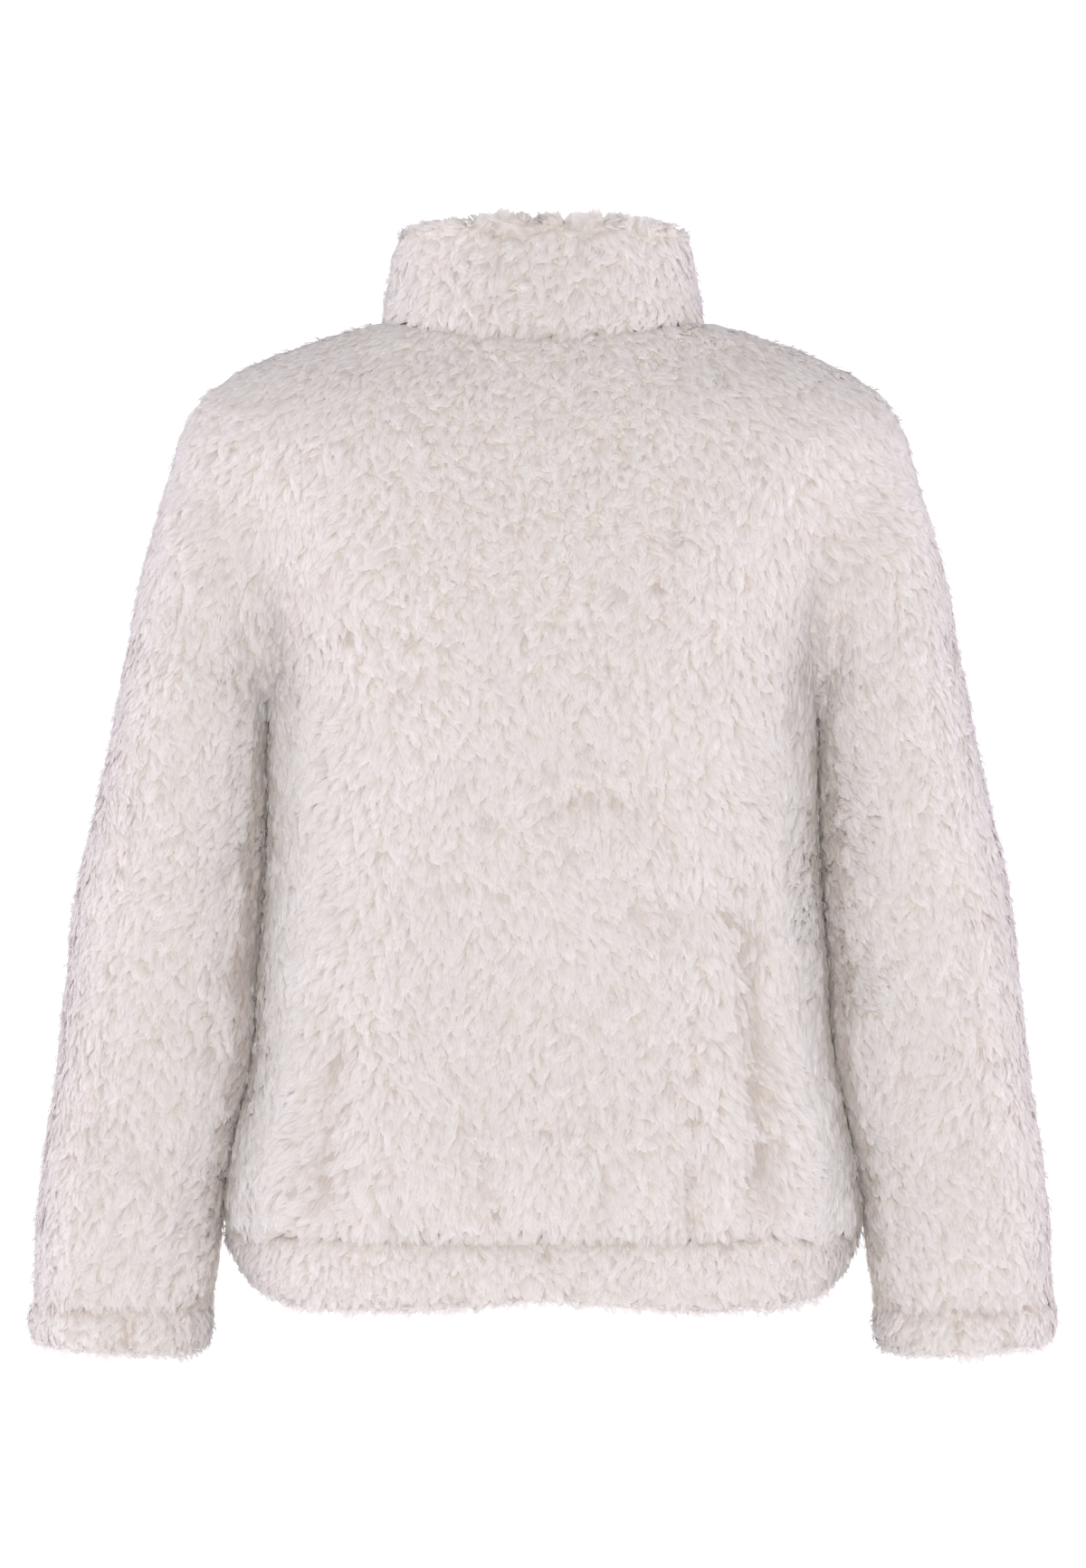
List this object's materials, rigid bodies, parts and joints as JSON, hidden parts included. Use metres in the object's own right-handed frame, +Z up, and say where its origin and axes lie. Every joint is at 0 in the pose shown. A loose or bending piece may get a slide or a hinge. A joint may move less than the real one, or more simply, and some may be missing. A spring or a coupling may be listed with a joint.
{
  "type": "sherpa fleece pullover",
  "caption": "High-pile fleece pullover with a stand collar, drop shoulders, long sleeves with folded cuffs and a hem band, filled out as if worn and hollow inside.",
  "frame": {"origin": "middle of the neck opening, level with its two side points at the collar seam, where the wearer's shoulders and neck hold the garment up", "axes": "+Z up out of the collar, +Y towards the wearer's front, +X towards the wearer's right"},
  "size_m": [0.6812, 0.2702, 0.739],
  "materials": {
    "sherpa": "creamy off-white long-pile sherpa fleece in soft curled clumps, matt"
  },
  "bodies": {
    "root": {"back": "sherpa", "front": "sherpa", "sleeve_left": "sherpa", "sleeve_right": "sherpa", "collar": "sherpa", "hem_band": "sherpa", "cuff_left": "sherpa", "cuff_right": "sherpa"}
  },
  "joints": []
}
